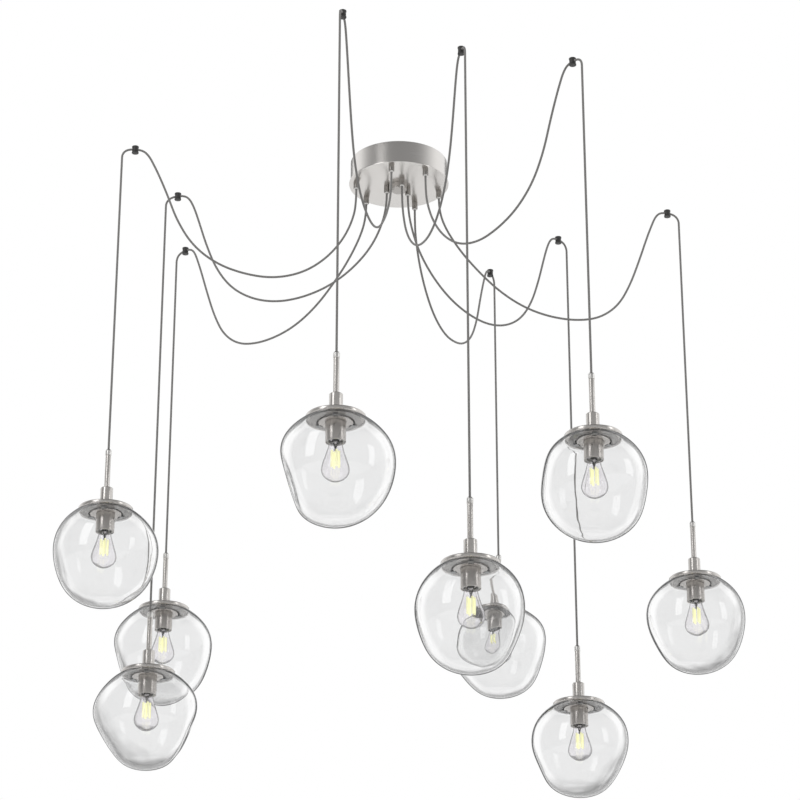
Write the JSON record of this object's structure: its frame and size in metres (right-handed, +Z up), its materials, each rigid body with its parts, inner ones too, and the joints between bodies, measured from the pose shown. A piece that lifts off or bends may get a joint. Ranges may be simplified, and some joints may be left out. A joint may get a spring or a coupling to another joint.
{
  "type": "cluster pendant light",
  "caption": "Ceiling light with clear blown-glass globes on fabric cords that swag from one round canopy through ceiling holders and hang at several heights.",
  "frame": {"origin": "centre of the canopy at the ceiling, midway between the two box screws", "axes": "+Z up out of the fitting into the ceiling, +X along the ceiling bracket's bar, +Y away from the viewer of the picture"},
  "size_m": [1.4968, 1.5015, 1.3812],
  "materials": {
    "brushed_nickel": "satin brushed nickel",
    "socket_nickel": "satin brushed nickel",
    "cord_fabric": "braided cloth, matt",
    "clear_glass": "clear, polished",
    "bulb_glass": "clear, polished",
    "holder_black": "satin black",
    "bracket_steel": "zinc plated",
    "block_plastic": "moulded, matt"
  },
  "bodies": {
    "root": {"canopy_cover": "brushed_nickel", "ceiling_bracket": "bracket_steel", "canopy_cap_nut": "brushed_nickel", "cord_glands": "brushed_nickel", "terminal_block": "block_plastic", "swag_holders": "holder_black", "cord_swag_1": "cord_fabric", "cord_swag_2": "cord_fabric", "cord_swag_3": "cord_fabric", "cord_swag_4": "cord_fabric", "cord_swag_5": "cord_fabric", "cord_swag_6": "cord_fabric", "cord_swag_7": "cord_fabric", "cord_swag_8": "cord_fabric", "cord_swag_9": "cord_fabric"},
    "pendant_1": {"cord_drop_1": "cord_fabric", "stem_1": "brushed_nickel", "glass_1": "clear_glass", "socket_1": "socket_nickel", "bulb_1": "bulb_glass"},
    "pendant_2": {"cord_drop_2": "cord_fabric", "stem_2": "brushed_nickel", "glass_2": "clear_glass", "socket_2": "socket_nickel", "bulb_2": "bulb_glass"},
    "pendant_3": {"cord_drop_3": "cord_fabric", "stem_3": "brushed_nickel", "glass_3": "clear_glass", "socket_3": "socket_nickel", "bulb_3": "bulb_glass"},
    "pendant_4": {"cord_drop_4": "cord_fabric", "stem_4": "brushed_nickel", "glass_4": "clear_glass", "socket_4": "socket_nickel", "bulb_4": "bulb_glass"},
    "pendant_5": {"cord_drop_5": "cord_fabric", "stem_5": "brushed_nickel", "glass_5": "clear_glass", "socket_5": "socket_nickel", "bulb_5": "bulb_glass"},
    "pendant_6": {"cord_drop_6": "cord_fabric", "stem_6": "brushed_nickel", "glass_6": "clear_glass", "socket_6": "socket_nickel", "bulb_6": "bulb_glass"},
    "pendant_7": {"cord_drop_7": "cord_fabric", "stem_7": "brushed_nickel", "glass_7": "clear_glass", "socket_7": "socket_nickel", "bulb_7": "bulb_glass"},
    "pendant_8": {"cord_drop_8": "cord_fabric", "stem_8": "brushed_nickel", "glass_8": "clear_glass", "socket_8": "socket_nickel", "bulb_8": "bulb_glass"},
    "pendant_9": {"cord_drop_9": "cord_fabric", "stem_9": "brushed_nickel", "glass_9": "clear_glass", "socket_9": "socket_nickel", "bulb_9": "bulb_glass"}
  },
  "joints": [
    {"name": "pendant_1_swing", "type": "hinge", "parent": "root", "child": "pendant_1", "pos_m": [0.66164, 0.24344, -0.0382], "axis": [-0.3453, 0.9385, 0], "range_deg": [-8, 8]},
    {"name": "pendant_2_swing", "type": "hinge", "parent": "root", "child": "pendant_2", "pos_m": [0.40505, 0.3939, -0.0382], "axis": [-0.6972, 0.7169, 0], "range_deg": [-8, 8]},
    {"name": "pendant_3_swing", "type": "hinge", "parent": "root", "child": "pendant_3", "pos_m": [0.23664, 0.58279, -0.0382], "axis": [-0.9265, 0.3762, 0], "range_deg": [-8, 8]},
    {"name": "pendant_4_swing", "type": "hinge", "parent": "root", "child": "pendant_4", "pos_m": [-0.54164, 0.45128, -0.0382], "axis": [-0.6401, -0.7683, 0], "range_deg": [-8, 8]},
    {"name": "pendant_5_swing", "type": "hinge", "parent": "root", "child": "pendant_5", "pos_m": [-0.54365, 0.15384, -0.0382], "axis": [-0.2723, -0.9622, 0], "range_deg": [-8, 8]},
    {"name": "pendant_6_swing", "type": "hinge", "parent": "root", "child": "pendant_6", "pos_m": [-0.62303, -0.08645, -0.0382], "axis": [0.1374, -0.9905, 0], "range_deg": [-8, 8]},
    {"name": "pendant_7_swing", "type": "hinge", "parent": "root", "child": "pendant_7", "pos_m": [-0.12, -0.69471, -0.0382], "axis": [0.9854, -0.1702, 0], "range_deg": [-8, 8]},
    {"name": "pendant_8_swing", "type": "hinge", "parent": "root", "child": "pendant_8", "pos_m": [0.1386, -0.54774, -0.0382], "axis": [0.9694, 0.2453, 0], "range_deg": [-8, 8]},
    {"name": "pendant_9_swing", "type": "hinge", "parent": "root", "child": "pendant_9", "pos_m": [0.38638, -0.49633, -0.0382], "axis": [0.7891, 0.6143, 0], "range_deg": [-8, 8]}
  ]
}
